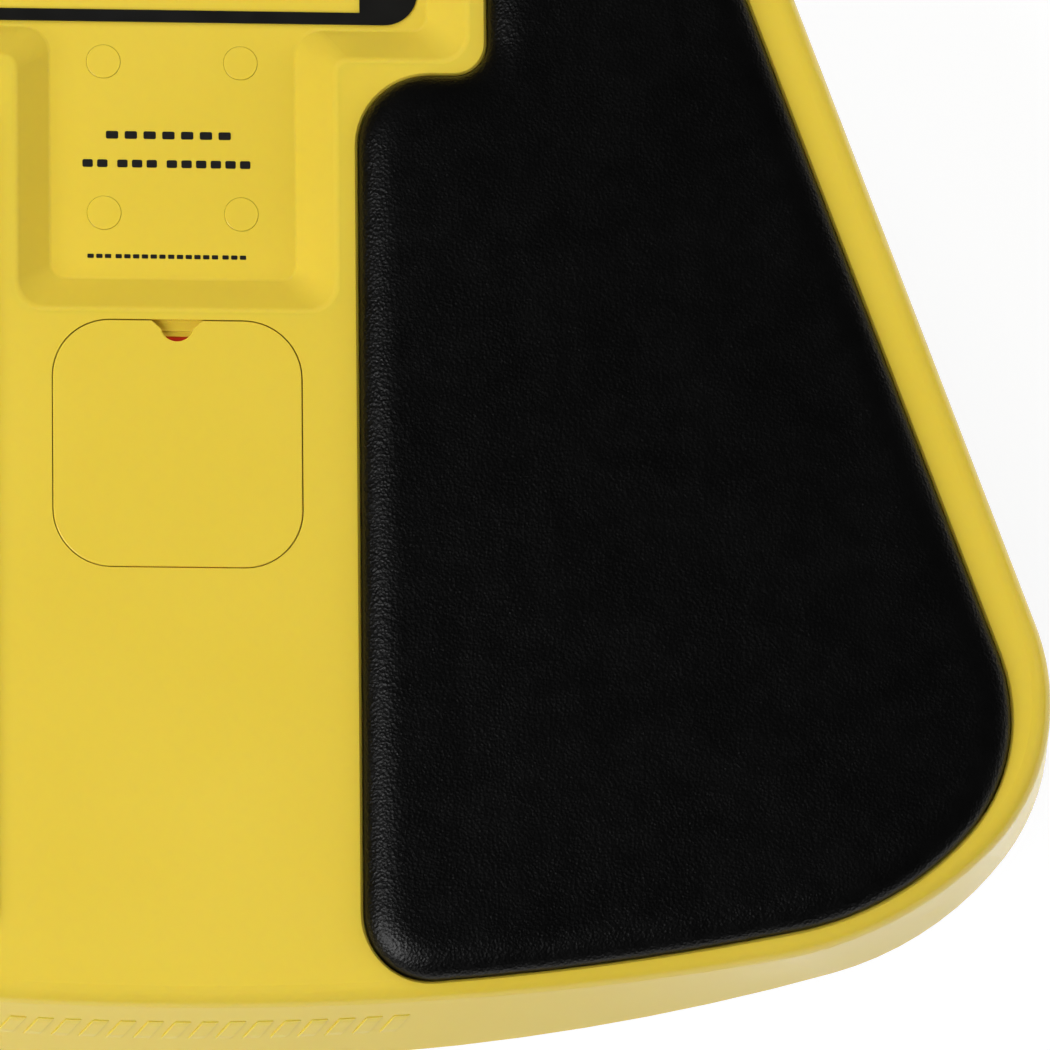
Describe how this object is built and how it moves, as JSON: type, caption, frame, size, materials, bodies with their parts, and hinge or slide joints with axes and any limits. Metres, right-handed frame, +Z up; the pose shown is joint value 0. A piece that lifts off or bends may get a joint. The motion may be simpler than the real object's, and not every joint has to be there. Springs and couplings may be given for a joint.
{
  "type": "tilting forearm plank board",
  "caption": "Tapered board with two foam forearm pads, a recessed phone tray and a lift-up hatch, carried on a sprung two-axis swivel over a round base.",
  "frame": {"origin": "on the ground under the middle of the board's outline", "axes": "+Z up, +X towards the right arm pad, -Y towards the elbow edge nearest the user"},
  "size_m": [0.585, 0.4528, 0.188],
  "materials": {
    "deck_plastic": "gloss moulded yellow",
    "under_plastic": "fine texture, black",
    "arm_foam": "skinned black foam with a fine leather grain",
    "mat_film": "satin black film",
    "well_plastic": "gloss moulded red",
    "screw_steel": "zinc plated",
    "ground_steel": "ground",
    "black_steel": "black powder coat",
    "cast_yoke": "grey cast, machined bores",
    "bush_rubber": "bonded rubber bush",
    "base_plastic": "fine texture, black",
    "foot_rubber": "soft black rubber"
  },
  "bodies": {
    "base": {"foot_ring": "foot_rubber", "base_plate": "black_steel", "base_cover": "base_plastic", "cover_screws": "screw_steel", "pedestal": "cast_yoke", "pedestal_screws": "screw_steel", "lower_yoke": "cast_yoke", "yoke_bolts": "screw_steel", "roll_bushes": "bush_rubber", "stop_buffers": "foot_rubber", "dome_seal": "foot_rubber"},
    "cross": {"cross_trunnion": "ground_steel", "retaining_rings": "black_steel"},
    "board": {"upper_yoke": "cast_yoke", "pitch_bushes": "bush_rubber", "locating_pins": "ground_steel", "pivot_nut": "screw_steel", "pivot_bolt": "screw_steel", "pivot_washer": "screw_steel", "mounting_plate": "black_steel", "plate_screws": "screw_steel", "swivel_dome": "base_plastic", "dome_screws": "screw_steel", "bottom_shell": "under_plastic", "inner_frame": "under_plastic", "top_shell": "deck_plastic", "tray_pan": "deck_plastic", "hatch_ledge": "deck_plastic", "shell_screws": "screw_steel", "well_cup": "well_plastic", "left_pad": "arm_foam", "right_pad": "arm_foam", "phone_mat": "mat_film", "tray_screws": "screw_steel", "tray_plugs": "deck_plastic"},
    "hatch": {"hatch_cover": "deck_plastic"}
  },
  "joints": [
    {"name": "board_roll", "type": "hinge", "parent": "base", "child": "cross", "pos_m": [0, -0.0277, 0.101], "axis": [0, 1, 0], "range_deg": [-15, 15], "stiffness_Nm_per_rad": 60},
    {"name": "board_pitch", "type": "hinge", "parent": "cross", "child": "board", "pos_m": [0, -0.0277, 0.101], "axis": [1, 0, 0], "range_deg": [-15, 15], "stiffness_Nm_per_rad": 60},
    {"name": "hatch_lift", "type": "hinge", "parent": "board", "child": "hatch", "pos_m": [0, -0.0687, 0.18], "axis": [1, 0, 0], "range_deg": [0, 70]}
  ]
}
